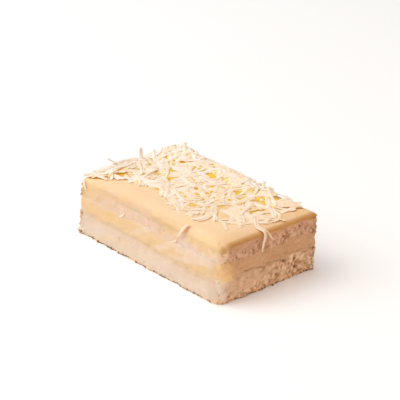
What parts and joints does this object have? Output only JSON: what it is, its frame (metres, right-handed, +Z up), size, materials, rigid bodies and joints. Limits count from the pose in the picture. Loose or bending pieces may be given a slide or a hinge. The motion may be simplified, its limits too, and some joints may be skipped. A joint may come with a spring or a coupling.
{
  "type": "yema cake",
  "caption": "Cut rectangular block of yema cake: soft sponge layers with a custard filling between them, slumped yema icing over the top and a loose heap of grated cheese.",
  "frame": {"origin": "middle of the block's flat base, on the surface that the cake stands on", "axes": "+X along the long side, towards the end with the hanging shreds of cheese; +Y from the near cut face to the back; +Z up"},
  "size_m": [0.1667, 0.1085, 0.0577],
  "materials": {
    "sponge": "open, matt chiffon crumb, browned along the bottom edge",
    "filling": "smooth, softly shining yema custard",
    "icing": "smooth, satin yema icing with a rounded edge",
    "cheese": "pale, waxy grated cheese"
  },
  "bodies": {
    "root": {"lower_sponge": "sponge", "yema_filling": "filling", "upper_sponge": "sponge", "yema_icing": "icing", "grated_cheese": "cheese"}
  },
  "joints": []
}
